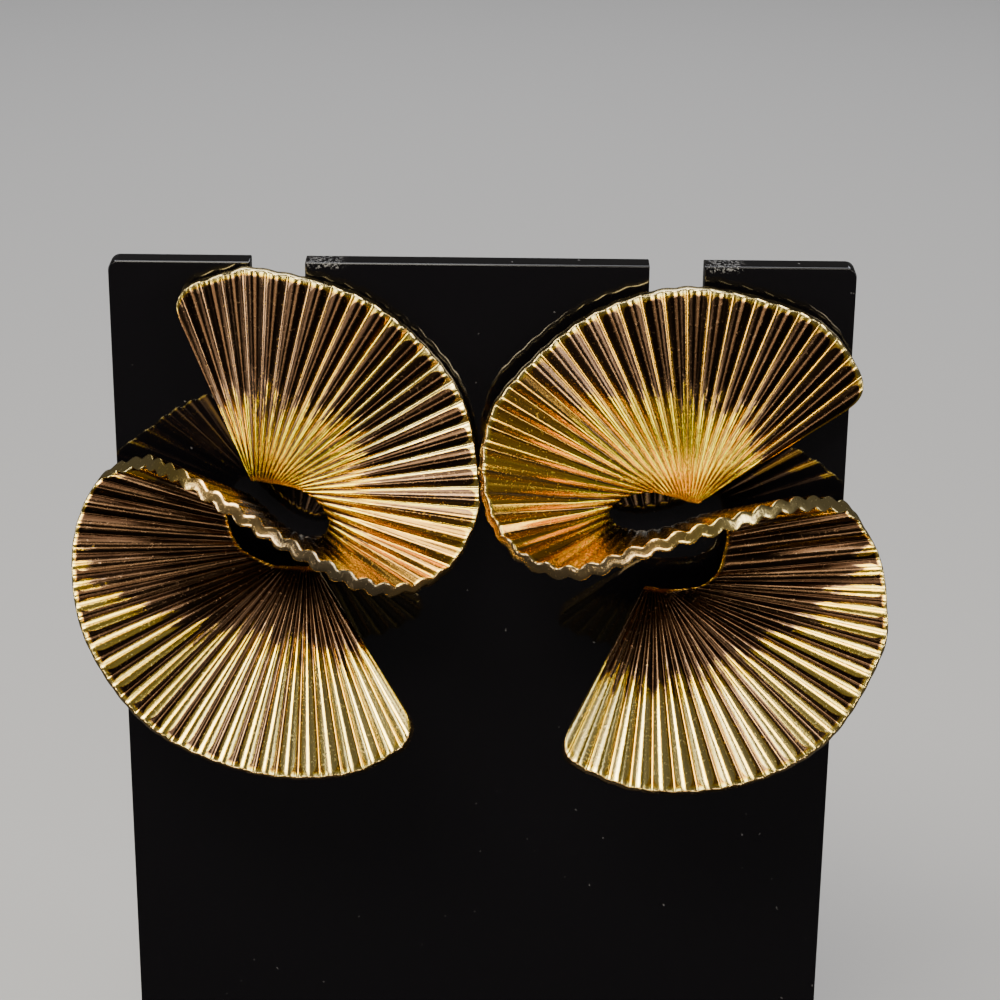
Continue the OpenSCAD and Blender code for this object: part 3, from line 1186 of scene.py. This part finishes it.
@dataclass
class DisplayPanel:
    """Upright acrylic panel with two notches in its top edge."""

    notch_width: float = 4.4 * MM
    notch_depth: float = 13.0 * MM
    notch_spacing: float = 32.0 * MM
    notch_shift: float = -0.4 * MM
    corner: float = 0.8 * MM
    corner_steps: int = 6
    polish: float = 0.10 * MM
    scuff_offset: float = 1.6 * MM

    def notches(self) -> tuple[float, float]:
        """Return the notches' centre lines."""
        half = self.notch_spacing / 2
        return self.notch_shift - half, self.notch_shift + half

    def build(self) -> Piece:
        """Make the panel.

        Returns:
            The finished panel.
        """
        low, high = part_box("stand_panel")
        panel = block("stand_panel_sheet", low, high)
        round_corners(panel, 1, self.corner, self.corner_steps)
        half = self.notch_width / 2
        for centre in self.notches():
            cutter = block(
                "notch_cutter",
                Vector((centre - half, low.y - CUTTER_OVERRUN, high.z - self.notch_depth)),
                Vector((centre + half, high.y + CUTTER_OVERRUN, high.z + CUTTER_OVERRUN)),
            )
            combine(panel, cutter, Join.CUT)
        round_edges(panel, self.polish)
        scuffs = tuple(centre + half + self.scuff_offset for centre in self.notches())
        panel.data.materials.append(BlackAcrylic(scuff_sides=scuffs).make())
        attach(panel, "root")
        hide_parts("stand_panel")
        return panel


@dataclass
class BasePlate:
    """Plate that the panel stands in."""

    corner: float = 3.0 * MM
    groove_depth: float = 1.5 * MM
    groove_clearance: float = 0.1 * MM
    panel_thickness: float = 2.0 * MM
    panel_width: float = 60.0 * MM
    edge: float = 0.25 * MM

    def build(self) -> Piece:
        """Make the base plate.

        Returns:
            The finished plate.
        """
        low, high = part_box("stand_base")
        plate = block("stand_base_plate", low, high)
        round_corners(plate, 2, self.corner)
        gap = self.groove_clearance
        groove = block(
            "groove_cutter",
            Vector((-self.panel_width / 2 - gap, -gap, high.z - self.groove_depth)),
            Vector((self.panel_width / 2 + gap, self.panel_thickness + gap, high.z + CUTTER_OVERRUN)),
        )
        combine(plate, groove, Join.CUT)
        round_edges(plate, self.edge)
        plate.data.materials.append(BlackAcrylic().make())
        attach(plate, "root")
        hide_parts("stand_base")
        return plate


# Studio


@dataclass(frozen=True)
class SoftBox:
    """One soft box: its place from the middle of the panel's top edge, its size, watts and tint."""

    name: str
    spot: Triple
    size: tuple[float, float]
    power: float
    tint: Triple = (1.0, 1.0, 1.0)

    def hang(self, target: Vector) -> None:
        """Hang the soft box and turn it to the earrings.

        Args:
            target: The point that it faces.
        """
        light = bpy.data.lights.new(self.name, "AREA")
        light.shape = "RECTANGLE"
        light.size, light.size_y = self.size
        light.energy = self.power
        light.color = self.tint
        lamp = bpy.data.objects.new(self.name, light)
        bpy.context.scene.collection.objects.link(lamp)
        lamp.location = Vector(self.spot) + Vector((0.0, 0.0, PANEL_TOP))
        lamp.rotation_euler = (target - lamp.location).to_track_quat("-Z", "Y").to_euler()


SOFT_BOXES: tuple[SoftBox, ...] = (
    SoftBox("key_box", (-0.12, -0.30, 0.36), (0.26, 0.14), 2.1, (1.0, 0.95, 0.84)),
    SoftBox("low_box", (0.02, -0.50, -0.085), (0.30, 0.055), 0.90, (1.0, 0.94, 0.80)),
    SoftBox("left_strip", (-0.40, -0.26, 0.02), (0.06, 0.30), 0.6),
    SoftBox("right_strip", (0.40, -0.26, 0.04), (0.06, 0.30), 0.6),
    SoftBox("top_box", (0.0, -0.04, 0.42), (0.30, 0.16), 1.2, (1.0, 0.97, 0.93)),
    SoftBox("back_box", (0.0, 0.55, 0.40), (0.60, 0.30), 2.2, (0.90, 0.93, 1.0)),
)


@dataclass
class Studio:
    """Pale floor, soft lights and the camera.

    The eye is placed in millimetres from the middle of the panel's top edge.
    """

    focal_px: float = 2780.0
    frame_px: float = 1000.0
    sensor_width: float = 36.0
    azimuth: float = 0.19
    elevation: float = 22.11
    roll: float = 0.54
    eye: Triple = (2.30, -213.03, 66.23)
    near_limit: float = 5 * MM
    floor_size: float = 6.0
    floor_colour: Colour = (0.62, 0.61, 0.60, 1.0)
    floor_roughness: float = 0.85
    surround: Colour = (0.92, 0.90, 0.86, 1.0)
    surround_strength: float = 0.07
    earring_drop: float = 20 * MM

    def floor(self) -> None:
        """Lay the pale floor, which the gloss panel doesn't mirror, as in the photo's dark room."""
        deselect()
        bpy.ops.mesh.primitive_plane_add(size=self.floor_size)
        ground = bpy.context.object
        ground.name = "studio_floor"
        ground.visible_glossy = False
        bench = NodeBench.new("pale_floor")
        bench.shader.inputs["Base Color"].default_value = self.floor_colour
        bench.shader.inputs["Roughness"].default_value = self.floor_roughness
        ground.data.materials.append(bench.material)

    def lights(self) -> None:
        """Set the soft lights and a dim surround."""
        for box in SOFT_BOXES:
            box.hang(Vector((0.0, 0.0, PANEL_TOP - self.earring_drop)))
        world = bpy.data.worlds.new("soft_surround")
        world.use_nodes = True
        background = world.node_tree.nodes["Background"]
        background.inputs["Color"].default_value = self.surround
        background.inputs["Strength"].default_value = self.surround_strength
        bpy.context.scene.world = world

    def camera(self) -> None:
        """Set the camera at the photograph's angle and framing."""
        a, e, r = (math.radians(value) for value in (self.azimuth, self.elevation, self.roll))
        back = Vector((math.sin(a) * math.cos(e), -math.cos(a) * math.cos(e), math.sin(e)))
        right = Vector((math.cos(a), math.sin(a), 0.0))
        up = back.cross(right)
        right, up = math.cos(r) * right + math.sin(r) * up, math.cos(r) * up - math.sin(r) * right
        lens = bpy.data.cameras.new("photo_camera")
        lens.sensor_width = self.sensor_width
        lens.sensor_fit = "HORIZONTAL"
        lens.lens = self.focal_px * self.sensor_width / self.frame_px
        lens.clip_start = self.near_limit
        eye = bpy.data.objects.new("photo_camera", lens)
        bpy.context.scene.collection.objects.link(eye)
        x, y, z = (value * MM for value in self.eye)
        turn = Matrix((right, up, back)).transposed().to_4x4()
        eye.matrix_world = Matrix.Translation((x, y, z + PANEL_TOP)) @ turn
        bpy.context.scene.camera = eye


def main() -> None:
    """Build the stand, the earrings and the studio in order."""
    logging.basicConfig(level=logging.INFO, format="%(name)s: %(message)s")
    studio = Studio()
    studio.camera()
    studio.floor()
    studio.lights()

    pieces = [BasePlate().build(), DisplayPanel().build()]
    left = PleatedRibbon(Side.LEFT, LEFT_STATIONS, LEFT_REFLECTION_TONES, pleats=70, hub_side=-16.4, hub_drop=21.0)
    right = PleatedRibbon(Side.RIGHT, RIGHT_STATIONS, RIGHT_REFLECTION_TONES, pleats=68, hub_side=15.6, hub_drop=22.0)
    for ribbon, hub_highlights in ((left, LEFT_HUB_HIGHLIGHT), (right, RIGHT_HUB_HIGHLIGHT)):
        pieces += [ribbon.build(FlutedGold(hub_highlights)), Clip(ribbon.side).build(SatinGold())]
    for piece in pieces:
        log.info("%s: %d faces", piece.name, len(piece.data.polygons))


if __name__ == "__main__":
    main()
